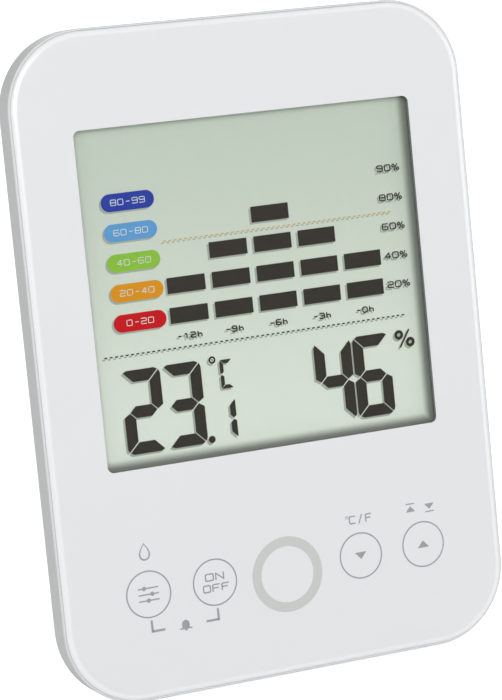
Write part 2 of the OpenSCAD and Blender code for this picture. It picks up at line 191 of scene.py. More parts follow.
class StageLooks(bpy.types.PropertyGroup):
    """Camera and light."""

    azimuth: angle("Camera azimuth", "Turn of the camera to the left of straight on", -23.41)
    elevation: angle("Camera elevation", "Height of the camera above the horizon", 18.375)
    roll: angle("Camera roll", "Turn of the camera about its own axis", -0.446)
    distance: length("Camera distance", "From the camera to the middle of the case", 503.2)
    lens: FloatProperty(name="Lens", description="Focal length in millimetres", default=139.42,
                        min=1, unit="CAMERA")
    key_light: brightness("Key light", "Power of the large lamp in front", 13.5)
    side_light: brightness("Side light", "Power of the low lamp on the right", 6.4)
    edge_light: brightness("Edge light", "Power of the strip lamp that lights the rolled edge", 0.6)
    back_light: brightness("Back light", "Power of the lamp behind the case", 12.0)
    sky: brightness("Sky", "Strength of the light from all round", 0.32)


def activate(piece):
    """Makes one object the only selected one, and active."""
    if bpy.context.mode != "OBJECT":
        bpy.ops.object.mode_set(mode="OBJECT")
    bpy.ops.object.select_all(action="DESELECT")
    piece.select_set(True)
    bpy.context.view_layer.objects.active = piece


def edit_all(piece, kind="FACE"):
    """Opens one object in edit mode with all of it selected."""
    activate(piece)
    bpy.ops.object.mode_set(mode="EDIT")
    bpy.ops.mesh.select_mode(type=kind)
    bpy.ops.mesh.select_all(action="SELECT")


def closed(piece):
    """Leaves edit mode."""
    bpy.ops.object.mode_set(mode="OBJECT")
    return piece


def outward(piece):
    """Turns all faces outward, and leaves edit mode."""
    bpy.ops.mesh.select_all(action="SELECT")
    bpy.ops.mesh.normals_make_consistent(inside=False)
    return closed(piece)


def name_new(name):
    """Names the object just added, and puts its place and size into its mesh."""
    piece = bpy.context.active_object
    piece.name = name
    bpy.ops.object.transform_apply(location=True, rotation=True, scale=True)
    return piece


def plane(name, middle, width, height, turn=(0, 0, 0)):
    """Flat rectangle about a point, turned."""
    bpy.ops.object.select_all(action="DESELECT")
    bpy.ops.mesh.primitive_plane_add(size=1, location=middle, rotation=turn)
    bpy.context.active_object.scale = (width, height, 1)
    return name_new(name)


def sheet(name, x0, x1, y0, y1, z=0.0):
    """Flat face from x0 to x1 and y0 to y1."""
    return plane(name, ((x0 + x1) / 2, (y0 + y1) / 2, z), x1 - x0, y1 - y0)


def level_bar(name, x0, x1, y, height):
    """Flat face between two X, in either order, about a level."""
    return sheet(name, min(x0, x1), max(x0, x1), y - height / 2, y + height / 2)


def round_sheet(name, width, height, radius, middle_y, z, steps=16):
    """Flat rounded rectangle about the middle of the case's width."""
    piece = sheet(name, -width / 2, width / 2, middle_y - height / 2, middle_y + height / 2, z)
    edit_all(piece, "VERT")
    bpy.ops.mesh.bevel(affect="VERTICES", offset=radius, offset_type="OFFSET", segments=steps, profile=0.5)
    return closed(piece)


def thicken(piece, rise):
    """Gives flat faces a thickness along Z."""
    edit_all(piece)
    bpy.ops.mesh.extrude_region_move(TRANSFORM_OT_translate={"value": (0, 0, rise)})
    return outward(piece)


def grow(piece, profile):
    """Extrudes a flat face through steps of (inset, rise)."""
    edit_all(piece)
    for inset, rise in profile:
        if inset > 0:
            bpy.ops.mesh.inset(thickness=inset, use_even_offset=True)
            bpy.ops.transform.translate(value=(0, 0, rise))
        else:
            bpy.ops.mesh.extrude_region_move(TRANSFORM_OT_translate={"value": (0, 0, rise)})
    outward(piece)


def hoop(name, x, y, radius, width, low, high, steps):
    """Flat ring of rectangular section, spun about a vertical axis."""
    middle = (x + radius - width / 2, y, (low + high) / 2)
    piece = plane(name, middle, width, high - low, turn=(math.pi / 2, 0, 0))
    edit_all(piece)
    bpy.ops.mesh.delete(type="ONLY_FACE")
    bpy.ops.mesh.select_all(action="SELECT")
    bpy.ops.mesh.spin(steps=steps, angle=2 * math.pi, center=(x, y, 0), axis=(0, 0, 1))
    bpy.ops.mesh.select_all(action="SELECT")
    bpy.ops.mesh.remove_doubles(threshold=WELD)
    return outward(piece)


def shift(piece, x, y, z=0.0):
    """Moves an object's mesh."""
    piece.data.transform(Matrix.Translation((x, y, z)))
    return piece


def twin(piece, name, x, y):
    """Copy of an object with its own mesh, moved."""
    activate(piece)
    bpy.ops.object.duplicate()
    copy = bpy.context.active_object
    copy.name = name
    return shift(copy, x, y)


def join(pieces, name):
    """One object out of several."""
    activate(pieces[0])
    for piece in pieces:
        piece.select_set(True)
    bpy.ops.object.join()
    joined = bpy.context.active_object
    joined.name = name
    return joined


def combine(piece, other, operation):
    """Applies a Boolean with another object, which is then deleted."""
    activate(piece)
    modifier = piece.modifiers.new(operation.lower(), "BOOLEAN")
    modifier.operation = operation
    modifier.solver = "EXACT"
    modifier.object = other
    bpy.ops.object.modifier_apply(modifier=modifier.name)
    bpy.data.objects.remove(other)


def cut(x, y, out_x, out_y):
    """In edit mode, cuts a flat face along a line and drops what lies on its outer side."""
    bpy.ops.mesh.select_all(action="SELECT")
    bpy.ops.mesh.bisect(plane_co=(x, y, 0), plane_no=(out_x, out_y, 0), clear_outer=True)


# Strokes of the squarish letters, each character in a square from 0 to 1
BOX = [(0.5, 0), (1, 0), (1, 1), (0, 1), (0, 0), (0.5, 0)]
STROKES = {
    "0": [BOX],
    "1": [[(0.2, 0.8), (0.6, 1), (0.6, 0)]],
    "2": [[(0, 1), (1, 1), (1, 0.5), (0, 0.5), (0, 0), (1, 0)]],
    "3": [[(0, 1), (1, 1), (1, 0), (0, 0)], [(0.3, 0.5), (1, 0.5)]],
    "4": [[(0.75, 0), (0.75, 1)], [(0.75, 1), (0, 0.3)], [(0, 0.3), (1, 0.3)]],
    "6": [[(1, 1), (0, 1), (0, 0), (1, 0), (1, 0.5), (0, 0.5)]],
    "8": [BOX, [(0, 0.5), (1, 0.5)]],
    "9": [[(0, 0), (1, 0), (1, 1), (0, 1), (0, 0.5), (1, 0.5)]],
    "%": [[(0.1, 0.55), (0.4, 0.55), (0.4, 1), (0, 1), (0, 0.55), (0.1, 0.55)], [(0.3, -0.05), (0.9, 1.05)],
          [(0.9, 0), (1.2, 0), (1.2, 0.45), (0.8, 0.45), (0.8, 0), (0.9, 0)]],
    "-": [[(0.25, 0.5), (0.85, 0.5)]],
    "h": [[(0.1, 1), (0.1, 0)], [(0.1, 0.6), (0.9, 0.6), (0.9, 0)]],
    "O": [BOX],
    "N": [[(0, 0), (0, 1)], [(0, 1), (1, 0)], [(1, 0), (1, 1)]],
    "F": [[(0, 0), (0, 1), (1, 1)], [(0, 0.5), (0.8, 0.5)]],
    "C": [[(1, 1), (0, 1), (0, 0), (1, 0)]],
    "/": [[(0.2, -0.1), (0.8, 1.1)]],
}

# Shares of a line's width: what a stroke runs past its length, and what is cut off an inner corner
OVERRUN = 0.5
CORNER_CUT = 0.7


def pen_stroke(start, end, line):
    """Flat bar between two points, a little longer than their distance."""
    along = end - start
    turn = (0, 0, math.atan2(along.y, along.x))
    return plane("stroke", (start + end) / 2, along.length + line * OVERRUN, line, turn)


def cut_corners(points, corner):
    """The points of a path with each inner corner cut off."""
    path = [points[0]]
    for before, here, after in zip(points, points[1:], points[2:]):
        path.append(here + (before - here).normalized() * corner)
        path.append(here + (after - here).normalized() * corner)
    return path + [points[-1]]


def lettering(name, text, x, y, cell, height, line, gap=0.25 * MM):
    """Flat squarish letters about a point, drawn in strokes."""
    left = x - ((cell + gap) * len(text) - gap) / 2 + line / 2
    bars = []
    for i, character in enumerate(text):
        corner = Vector((left + (cell + gap) * i, y - height / 2 + line / 2, 0))
        for path in STROKES[character]:
            points = [corner + Vector((u * (cell - line), v * (height - line), 0)) for u, v in path]
            points = cut_corners(points, line * CORNER_CUT)
            bars += [pen_stroke(a, b, line) for a, b in zip(points, points[1:])]
    return join(bars, name)


def seat(piece, level, thickness):
    """Puts a flat piece on a level and gives it a thickness."""
    return thicken(shift(piece, 0, 0, level), thickness)


def stand_up(piece, name, body, material):
    """Stands a lying piece up in the case, and gives it its body and finish."""
    piece.name = name
    piece.data.name = name
    piece.data.transform(PLACE)
    piece.data.materials.clear()
    piece.data.materials.append(material)
    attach(piece, body)


def smooth_edges(piece, limit=math.radians(30), level=0.9999):
    """Shades a lying object smooth up to an angle between faces, but keeps its level faces flat."""
    activate(piece)
    bpy.ops.object.shade_smooth_by_angle(angle=limit)
    for face in piece.data.polygons:
        if abs(face.normal.z) > level:
            face.use_smooth = False


def set_up(node, sockets, **settings):
    """Changes a node's settings, and gives its sockets values or the outputs of other nodes."""
    for key, value in settings.items():
        setattr(node, key, value)
    for key, value in sockets.items():
        if isinstance(value, bpy.types.NodeSocket):
            node.id_data.links.new(value, node.inputs[key])
        else:
            node.inputs[key].default_value = value
    return node


def add_node(tree, kind, sockets=None, **settings):
    """Adds a shader node and sets it up."""
    return set_up(tree.nodes.new("ShaderNode" + kind), sockets or {}, **settings)


def rgba(rgb):
    """Colour with full alpha."""
    return (rgb[0], rgb[1], rgb[2], 1)


def dim(rgb, factor):
    """Colour made darker or lighter by a factor."""
    return tuple(min(1, c * factor) for c in rgb[:3])


def new_material(name):
    """Material with only a Principled shader; returns it, its tree and the shader."""
    made = bpy.data.materials.new(name)
    made.use_nodes = True
    return made, made.node_tree, made.node_tree.nodes["Principled BSDF"]


def own_place(tree):
    """Output that gives a point's place on the standing object, in metres."""
    return add_node(tree, "TexCoord").outputs["Object"]


def lying_place(tree):
    """Outputs that give a point's X, Y and Z in the lying position, in metres."""
    laid = add_node(tree, "Mapping", {"Vector": own_place(tree), "Location": PLACE.translation,
                                      "Rotation": Euler((LEAN, 0, 0))}, vector_type="TEXTURE")
    return add_node(tree, "SeparateXYZ", {"Vector": laid.outputs["Vector"]}).outputs


def compute(tree, operation, *terms):
    """Output of a sum or the like, from outputs or plain numbers."""
    return add_node(tree, "Math", dict(enumerate(terms)), operation=operation).outputs[0]


def ramp(tree, value, start, end, low=0.0, high=1.0, kind="LINEAR"):
    """Output that goes from low to high while a value goes from start to end."""
    made = add_node(tree, "MapRange", {"Value": value, "From Min": start, "From Max": end, "To Min": low,
                                       "To Max": high}, interpolation_type=kind)
    return made.outputs["Result"]


def blend(tree, factor, first, second):
    """Output that goes from a first colour to a second; either may be an output itself."""
    ends = [c if isinstance(c, bpy.types.NodeSocket) else rgba(c) for c in (first, second)]
    mix = add_node(tree, "Mix", {"Factor": factor, "A": ends[0], "B": ends[1]}, data_type="RGBA")
    return mix.outputs["Result"]


def grain(tree, place, size, detail=3.0):
    """Output of a noise whose features have about the given size in metres."""
    made = add_node(tree, "TexNoise", {"Vector": place, "Scale": 1 / size, "Detail": detail,
                                       "Roughness": 0.55})
    return made.outputs["Fac"]


def uneven(tree, place, size, low, high):
    """Output that wanders between two values over patches of a given size."""
    return ramp(tree, grain(tree, place, size), 0, 1, low, high)


def mottle(tree, place, rgb, size, depth):
    """Output of a colour that varies slightly about a base over patches of a given size."""
    return blend(tree, grain(tree, place, size), dim(rgb, 1 - depth), dim(rgb, 1 + depth))


def bumps(tree, height, strength, depth, normal=None):
    """Output of a normal that follows small bumps, over another normal if one is given."""
    sockets = {"Height": height, "Strength": strength, "Distance": depth}
    if normal is not None:
        sockets["Normal"] = normal
    return add_node(tree, "Bump", sockets).outputs["Normal"]


def moulded(name, rgb, roughness=0.42, texture=0.35 * MM, depth=0.012 * MM, edge=0.25 * MM, variation=0.02):
    """Moulded plastic: a fine spark texture, slightly uneven colour and gloss, and softly broken edges."""
    made, tree, shader = new_material(name)
    place = own_place(tree)
    soft = add_node(tree, "Bevel", {"Radius": edge}, samples=4).outputs["Normal"]
    set_up(shader, {
        "Base Color": mottle(tree, place, rgb, size=9 * MM, depth=variation),
        "Roughness": uneven(tree, place, 4 * MM, low=roughness - 0.05, high=roughness + 0.05),
        "Normal": bumps(tree, grain(tree, place, texture, detail=2.0), 0.5, depth, soft),
    })
    return made


def glossy_white(name, rgb, highlight_rgb):
    """Glossy lacquered plastic: a long soft waviness under a clear coat, and a painted highlight that makes
    the rolled edge whiter.
    """
    made, tree, shader = new_material(name)
    place = own_place(tree)
    face = PLATE[1].z
    # Painted highlight: below the level face, the rolled edge gets the whiter colour
    rolled = ramp(tree, lying_place(tree)["Z"], start=face - 0.0004 * MM, end=face - 0.05 * MM)
    set_up(shader, {
        "Base Color": blend(tree, rolled, mottle(tree, place, rgb, size=30 * MM, depth=0.006), highlight_rgb),
        "Roughness": uneven(tree, place, 14 * MM, low=0.16, high=0.24),
        "Normal": bumps(tree, grain(tree, place, 6 * MM, detail=1.0), 0.15, 0.01 * MM),
        "Coat Weight": 0.12,
        "Coat Roughness": 0.04,
    })
    return made


def ink(name, rgb, roughness=0.5, gloss=0.25):
    """Printed ink or a dark display segment: flat, with a faint unevenness."""
    made, tree, shader = new_material(name)
    set_up(shader, {"Base Color": mottle(tree, own_place(tree), rgb, size=0.8 * MM, depth=0.03),
                    "Roughness": roughness, "Specular IOR Level": gloss})
    return made


def metal(name, rgb, roughness, size=0.6 * MM):
    """Bare metal with a drawn, slightly uneven surface."""
    made, tree, shader = new_material(name)
    place = own_place(tree)
    set_up(shader, {
        "Base Color": mottle(tree, place, rgb, size=2 * MM, depth=0.06),
        "Metallic": 1,
        "Roughness": uneven(tree, place, size, low=roughness * 0.7, high=roughness * 1.3),
    })
    return made


def cell_wrap(name, node, toward):
    """Printed sleeve of a cell: dark, with a silver band at its positive end and bare metal at both ends."""
    made, tree, shader = new_material(name)
    low, high = span(node)
    foot, tip = (low.x, high.x) if toward > 0 else (high.x, low.x)
    along = ramp(tree, lying_place(tree)["X"], start=foot, end=tip)
    bands = add_node(tree, "ValToRGB", {"Fac": along})
    bands.color_ramp.interpolation = "CONSTANT"
    steel, sleeve, silver = shade(190, 190, 188), shade(26, 58, 118), shade(176, 180, 186)
    sleeve_start, silver_start, tip_start = 0.025, 0.72, 0.965
    places = ((0.0, steel), (sleeve_start, sleeve), (silver_start, silver), (tip_start, steel))
    for i, (place, rgb) in enumerate(places):
        step = bands.color_ramp.elements[i] if i < 2 else bands.color_ramp.elements.new(place)
        step.position = place
        step.color = rgba(rgb)
    set_up(shader, {
        "Base Color": bands.outputs["Color"],
        "Metallic": compute(tree, "GREATER_THAN", along, silver_start),
        "Roughness": uneven(tree, own_place(tree), 1.5 * MM, low=0.22, high=0.38),
    })
    return made


def clear(name, tint):
    """Clear sheet that mirrors a little and lets light through without bending it."""
    made, tree, shader = new_material(name)
    through = add_node(tree, "BsdfTransparent", {"Color": rgba(tint)})
    gloss = add_node(tree, "BsdfGlossy", {"Roughness": uneven(tree, own_place(tree), 12 * MM, 0.02, 0.07)})
    mirror = add_node(tree, "Fresnel", {"IOR": 1.46})
    front = compute(tree, "SUBTRACT", 1, add_node(tree, "NewGeometry").outputs["Backfacing"])
    share = compute(tree, "MULTIPLY", mirror.outputs["Fac"], front)
    mix = add_node(tree, "MixShader", {0: share, 1: through.outputs["BSDF"], 2: gloss.outputs["BSDF"]})
    set_up(tree.nodes["Material Output"], {"Surface": mix.outputs["Shader"]})
    tree.nodes.remove(shader)
    return made


def display_ground(name, looks, flange):
    """Grey green display film: lighter downwards, and with a painted shade that darkens it towards the right
    and lower window edges.
    """
    made, tree, shader = new_material(name)
    lying = lying_place(tree)
    height = ramp(tree, lying["Y"], PANE[0].y, PANE[1].y, kind="SMOOTHSTEP")
    # Painted shade: within a set width of the window's right and lower edges, the film fades to the edge
    # colour
    past_right = compute(tree, "SUBTRACT", lying["X"], PANE[1].x - flange)
    past_low = compute(tree, "SUBTRACT", PANE[0].y + flange, lying["Y"])
    nearest = compute(tree, "MAXIMUM", compute(tree, "DIVIDE", past_right, looks.right_shade),
                      compute(tree, "DIVIDE", past_low, looks.low_shade))
    fade = ramp(tree, nearest, start=-1, end=-0.08, kind="SMOOTHSTEP")
    edge = blend(tree, fade, blend(tree, height, looks.bottom, looks.top), looks.edge)
    ripple = uneven(tree, own_place(tree), 0.5 * MM, low=0.96, high=1.04)
    lit = add_node(tree, "VectorMath", {0: edge, "Scale": ripple}, operation="SCALE")
    set_up(shader, {"Base Color": lit.outputs["Vector"], "Roughness": 0.45, "Specular IOR Level": 0.3})
    return made


def painted_wall_shade(name):
    """Painted shade on the walls of the window: grey, darker towards the face."""
    made, tree, shader = new_material(name)
    level = ramp(tree, lying_place(tree)["Z"], FILM[1].z, PLATE[1].z)
    set_up(shader, {"Base Color": blend(tree, level, shade(176, 182, 173), shade(122, 127, 119)),
                    "Roughness": 0.6})
    return made


def paint_node(node, material):
    """Gives a CAD node its finish."""
    frame["nodes"][node].material_slots[0].material = material


def master_segments(width, height, stroke, gap, corner):
    """The seven segments of one digit as flat faces, from its lower left corner, by their letters."""
    half = gap / 2
    side = math.sqrt(0.5)
    mid = height / 2
    left, right = stroke / 2, width - stroke / 2
    # Blunt tips: how much of the stroke stays clear of the side, and the slope of a middle tip
    tip = stroke * 0.12
    slope = Vector((0.3, 0.5)).normalized()
    shares = {
        "a": (0, width, height - stroke, height),
        "b": (width - stroke, width, mid, height),
        "c": (width - stroke, width, 0, mid),
        "d": (0, width, 0, stroke),
        "e": (0, stroke, 0, mid),
        "f": (0, stroke, mid, height),
        "g": (left, right, mid - stroke / 2, mid + stroke / 2),
    }
    # Lines that the segments are cut along: a point, and the direction of the side that stays
    keeps = {"g": [(x, mid, sx * side, sy * side) for x, sx in ((left, 1), (right, -1)) for sy in (-1, 1)]}
    for letter, y, sy in (("a", height, 1), ("d", 0, -1)):
        keeps[letter] = [(0, y, side, sy * side), (width, y, -side, sy * side), (tip, 0, 1, 0),
                         (width - tip, 0, -1, 0)]
    for letter, x, y, inner, sx, sy in (("f", 0, height, left, -1, 1), ("b", width, height, right, 1, 1),
                                        ("e", 0, 0, left, -1, -1), ("c", width, 0, right, 1, -1)):
        keeps[letter] = [(x, y, sx * side, -sy * side), (inner, mid, sx * side, sy * side),
                         (inner, mid, -sx * slope.x, sy * slope.y)]
    rounding = [(sx, sy, math.radians(a)) for sx in (-1, 1) for sy in (-1, 1) for a in (22.5, 45, 67.5)]
    segments = {}
    for letter, share in shares.items():
        segments[letter] = sheet("segment_" + letter, *share)
        edit_all(segments[letter])
        for x, y, keep_x, keep_y in keeps[letter]:
            cut(x + keep_x * half, y + keep_y * half, -keep_x, -keep_y)
        for sx, sy, a in rounding:
            out = Vector((sx * math.cos(a), sy * math.sin(a)))
            centre = Vector((width / 2 + sx * (width / 2 - corner), mid + sy * (mid - corner)))
            touch = centre + out * corner
            cut(touch.x, touch.y, out.x, out.y)
        bpy.ops.object.mode_set(mode="OBJECT")
    return segments


LIT = {"0": "abcdef", "1": "bc", "2": "abged", "3": "abgcd", "4": "fgbc", "5": "afgcd", "6": "afgecd",
       "7": "abc", "8": "abcdefg", "9": "abcdfg", "C": "afed"}


def number(text, sizes, x, y):
    """The lit segments of each character, side by side from a lower left corner."""
    segments = master_segments(*sizes)
    made = [twin(segments[letter], "lit", x + DIGIT_PITCH * i, y)
            for i, character in enumerate(text) for letter in LIT[character]]
    for piece in segments.values():
        bpy.data.objects.remove(piece)
    return made


# Levels over the display film, thickness, and where a shadow falls beside what throws it
SHADOW_LEVEL, SHOWN_LEVEL, SHOWN_T, SHADOW_X, SHADOW_Y = mm(0.005, 0.03, 0.02, -0.4, -0.33)


def turn_flat(piece, turn, middle_y):
    """Turns a lying piece's mesh a little about a point on the case's middle line."""
    centre = Matrix.Translation((0, middle_y, 0))
    piece.data.transform(centre @ Matrix.Rotation(turn, 4, "Z") @ centre.inverted())
    return piece


def show(context, piece, name, material, lift=0.0):
    """Sets something flat that the display shows on its film, and keeps a copy for its shadow."""
    tilt = context.scene.display_looks.tilt
    shadow = twin(piece, name + "_shade", SHADOW_X, SHADOW_Y)
    for part, level in ((shadow, SHADOW_LEVEL), (piece, SHOWN_LEVEL + lift)):
        seat(turn_flat(part, tilt, WINDOW_Y), FILM[1].z + level, SHOWN_T)
    stand_up(piece, name, CASE, material)


def dashes(name, x0, x1, y, dash, height, pitch=1.04 * MM):
    """Row of short dashes, one copied by an Array modifier."""
    row = level_bar(name, x0, x0 + dash, y, height)
    activate(row)
    repeat = row.modifiers.new("repeat", "ARRAY")
    repeat.count = int((x1 - x0) / pitch)
    repeat.use_relative_offset = False
    repeat.use_constant_offset = True
    repeat.constant_offset_displace = (pitch, 0, 0)
    bpy.ops.object.modifier_apply(modifier=repeat.name)
    return row


def window_size(looks):
    """Width and height of the display window, inside the pane's hidden flange."""
    low, high = PANE
    return high.x - low.x - 2 * looks.flange, high.y - low.y - 2 * looks.flange


class HYGRO_OT_front_plate(bpy.types.Operator):
    """Glossy front plate with its rolled edge, window and groove for the ring."""

    bl_idname = "hygro.front_plate"
    bl_label = "Front plate"

    def execute(self, context):
        looks = context.scene.plate_looks
        low, high = PLATE
        width, height = high.x - low.x, high.y - low.y
        radius = looks.case_r - (low.x - LEDGE[0].x)
        plate = round_sheet("front_plate", width, height, radius, (low.y + high.y) / 2, low.z, steps=32)
        grow(plate, self.profile(low.z, high.z, looks.roll))
        window_w, window_h = window_size(looks)
        opening = round_sheet("opening", window_w, window_h, looks.window_r, WINDOW_Y, low.z - PAST, steps=8)
        combine(plate, thicken(opening, high.z - low.z + 2 * PAST), "DIFFERENCE")
        rebate = round_sheet("rebate", window_w + 2 * looks.flange, window_h + 2 * looks.flange,
                             looks.window_r, WINDOW_Y, low.z - PAST, steps=8)
        combine(plate, thicken(rebate, PAST + looks.step), "DIFFERENCE")
        ring = (RING[0] + RING[1]) / 2
        groove = hoop("groove", ring.x, ring.y, RING[1].x - ring.x, looks.groove, RING[0].z,
                      RING[1].z + PAST, steps=96)
        combine(plate, groove, "DIFFERENCE")
        smooth_edges(plate)
        finish = glossy_white("plate_white", looks.white, looks.painted_edge_highlight)
        stand_up(plate, "front_plate", CASE, finish)
        self.shade_window(plate, window_w, window_h)
        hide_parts("front_panel")
        return {"FINISHED"}

    def profile(self, low, rise, roll, steps=18, rim=0.15 * MM):
        """Steps of (inset, rise) up the side, round the rolled edge and over a narrow level rim."""
        angles = [math.pi / 2 * i / steps for i in range(steps + 1)]
        rolled = [(roll * (1 - math.cos(a)), rise * math.sin(a)) for a in angles]
        return [(0, -low), *((b[0] - a[0], b[1] - a[1]) for a, b in zip(rolled, rolled[1:])), (rim, 0)]

    def shade_window(self, plate, window_w, window_h, near=0.5 * MM, far=1 * MM):
        """Gives the walls of the window a dark painted shade that frames the display."""
        # The upright faces round the window opening get the painted shade
        plate.data.materials.append(painted_wall_shade("window_shade"))
        back = PLACE.inverted()
        for face in plate.data.polygons:
            place = back @ face.center
            past_x = abs(place.x) - window_w / 2
            past_y = abs(place.y - WINDOW_Y) - window_h / 2
            upright = abs((back.to_3x3() @ face.normal).z) < 0.5
            if upright and max(past_x, past_y) < far and min(abs(past_x), abs(past_y)) < near:
                face.material_index = 1


class HYGRO_OT_pane(bpy.types.Operator):
    """Clear pane over the display, with a fine broken edge and its hidden flange."""

    bl_idname = "hygro.pane"
    bl_label = "Display pane"

    def execute(self, context):
        looks = context.scene.plate_looks
        low, high = PANE
        sizes = [size - 2 * looks.seam for size in window_size(looks)]
        pane = round_sheet("clear_pane", *sizes, looks.window_r, WINDOW_Y, low.z, steps=8)
        broken_edge = 0.08 * MM
        grow(pane, [(0, high.z - low.z - broken_edge), (broken_edge, broken_edge)])
        sizes = [size + 2 * looks.flange for size in sizes]
        rim = round_sheet("rim", *sizes, looks.window_r, WINDOW_Y, low.z, steps=8)
        combine(pane, thicken(rim, looks.step - looks.seam), "UNION")
        stand_up(pane, "clear_pane", CASE, clear("pane_clear", (0.995, 1.0, 0.998)))
        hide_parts("display_window")
        return {"FINISHED"}


class HYGRO_OT_display_film(bpy.types.Operator):
    """Finish of the display film, the glasses and the reflector."""

    bl_idname = "hygro.display_film"
    bl_label = "Display film"

    def execute(self, context):
        scene = context.scene
        ground = display_ground("display_film", scene.display_looks, scene.plate_looks.flange)
        paint_node("lcd_front_polarizer", ground)
        glass = moulded("display_glass", shade(196, 208, 204), 0.12, *mm(0.4, 0.001, 0.1))
        for node in ("lcd_front_glass", "lcd_rear_glass"):
            paint_node(node, glass)
        paint_node("lcd_reflector", metal("display_reflector", shade(190, 194, 188), 0.35))
        return {"FINISHED"}


# Where the digits and their signs stand: lower left corners, pitch and middles
TEMPERATURE, HUMIDITY = mm(-28.74, 45.67), mm(9.98, 45.67)
TENTHS, UNIT = mm(-10.97, 45.8), mm(-9.15, 55.25)
DIGIT_PITCH = 8.06 * MM
POINT, DEGREE, SLASH = mm(-12.1, 46.22), mm(-10.54, 60.88), mm(29.09, 59.54)
PERCENT_RINGS = (mm(27.95, 60.33), mm(30.23, 58.74))


class HYGRO_OT_digits(bpy.types.Operator):
    """Temperature and humidity in segment digits, with their units."""

    bl_idname = "hygro.digits"
    bl_label = "Digits"

    def execute(self, context):
        looks = context.scene.display_looks
        dark = ink("segment_dark", looks.segment, 0.4)
        large = (looks.digit_w, looks.digit_h, looks.stroke, looks.gap, 1.45 * MM)
        lit = number(looks.temperature, large, *TEMPERATURE) + number(looks.humidity, large, *HUMIDITY)
        show(context, join(lit, "digits"), "digits", dark)
        tenths = number("1", (*mm(4.18, 7.48, 1.15), looks.gap, 0.6 * MM), *TENTHS)
        tenths += number("C", (*mm(2.45, 5.4, 0.72), looks.gap * 0.7, 0.5 * MM), *UNIT)
        show(context, join(tenths, "tenths"), "tenths", dark)
        signs = [flat_disc("point", *POINT, radius=0.68 * MM), flat_ring("degree", *DEGREE, *mm(0.7, 0.34))]
        signs += [flat_ring("percent", *place, *mm(0.92, 0.58)) for place in PERCENT_RINGS]
        signs.append(self.slash())
        show(context, join(signs, "signs"), "signs", dark)
        return {"FINISHED"}

    def slash(self, width=0.34 * MM, height=3.9 * MM, lean=math.radians(33)):
        """Slanted bar between the rings of the percent sign."""
        bar = level_bar("slash", -width / 2, width / 2, 0, height)
        bar.data.transform(Matrix.Rotation(-lean, 4, "Z"))
        return shift(bar, *SLASH)


def flat_disc(name, x, y, radius, steps=24):
    """Flat round face."""
    bpy.ops.object.select_all(action="DESELECT")
    bpy.ops.mesh.primitive_circle_add(vertices=steps, radius=radius, fill_type="NGON", location=(x, y, 0))
    return name_new(name)


def flat_ring(name, x, y, radius, width, steps=32):
    """Flat ring face: a disc with an inset middle taken out."""
    piece = flat_disc(name, x, y, radius, steps)
    edit_all(piece)
    bpy.ops.mesh.inset(thickness=width, use_even_offset=True)
    bpy.ops.mesh.delete(type="FACE")
    return closed(piece)


# Left and upper side of the chart's lowest left block, and the pitch from block to block
CHART_X, CHART_Y, CHART_PITCH_X, CHART_PITCH_Y = mm(-17.83, 71.51, 8.993, 5.525)
CHART_COUNTS = (2, 3, 4, 3, 2)

# Middle of the lowest percent and of the first hour, and the pitch of each scale
PERCENT_X, PERCENT_Y, PERCENT_PITCH = mm(28.86, 70.05, 5.52)
HOUR_X, HOUR_Y, HOUR_PITCH = mm(-14.37, 66.07, 8.95)


class HYGRO_OT_chart(bpy.types.Operator):
    """Chart of blocks with its dashed lines and numbered scales."""

    bl_idname = "hygro.chart"
    bl_label = "Chart"

    def execute(self, context):
        looks = context.scene.display_looks
        dark = ink("chart_dark", looks.segment, 0.4)
        places = [(CHART_X + CHART_PITCH_X * i, CHART_Y + CHART_PITCH_Y * j)
                  for i, count in enumerate(CHART_COUNTS) for j in range(count)]
        blocks = [sheet("block", x, x + looks.bar_w, y - looks.bar_h, y) for x, y in places]
        show(context, join(blocks, "blocks"), "chart_blocks", dark)
        divider = dashes("divider", *mm(-31.4, 30.85, 64.04, 0.56, 0.26))
        show(context, divider, "divider_line", dark)
        warning = dashes("warning", *mm(-17.7, 30.05, 83.84, 0.6, 0.22))
        show(context, warning, "warning_line", ink("warning_orange", looks.mark), lift=0.005 * MM)
        percents = [lettering("percent", text, PERCENT_X, PERCENT_Y + PERCENT_PITCH * i,
                              *mm(1.36, 1.32, 0.23))
                    for i, text in enumerate(("20%", "40%", "60%", "80%", "90%"))]
        show(context, join(percents, "percents"), "percent_scale", dark)
        hours = [lettering("hour", text, HOUR_X + HOUR_PITCH * i, HOUR_Y, *mm(1.15, 1.2, 0.25, 0.2))
                 for i, text in enumerate(("-12h", "-9h", "-6h", "-3h", "-0h"))]
        show(context, join(hours, "hours"), "hour_scale", dark)
        return {"FINISHED"}


# Coloured bands from the top one down: their numbers and colours, and where and how large they are
BANDS = (("band_5", "80-99", (40, 62, 163)), ("band_4", "60-80", (96, 157, 210)),
         ("band_3", "40-60", (140, 192, 60)), ("band_2", "20-40", (220, 147, 14)),
         ("band_1", "0-20", (201, 1, 18)))
BAND_X, BAND_Y, BAND_PITCH, BAND_W, BAND_H = mm(-23.73, 91.97, 5.52, 10.34, 3.25)
BAND_R = BAND_H * 0.499


class HYGRO_OT_comfort_bands(bpy.types.Operator):
    """Coloured bands beside the chart, with plain numbers."""

    bl_idname = "hygro.comfort_bands"
    bl_label = "Comfort bands"

    def execute(self, context):
        looks = context.scene.display_looks
        pale = ink("band_numbers", looks.script)
        for i, (name, text, rgb) in enumerate(BANDS):
            y = BAND_Y - BAND_PITCH * i
            pill = round_sheet(name, BAND_W, BAND_H, BAND_R, y, 0, steps=12)
            show(context, shift(pill, BAND_X, 0), name, ink(name + "_ink", shade(*rgb), 0.6, 0.1))
            script = lettering("script", text, BAND_X, y, *mm(1.15, 1.15, 0.14))
            turn_flat(script, looks.tilt, WINDOW_Y)
            seat(script, FILM[1].z + SHOWN_LEVEL + SHOWN_T, SHOWN_T / 2)
            stand_up(script, name + "_numbers", CASE, pale)
        return {"FINISHED"}


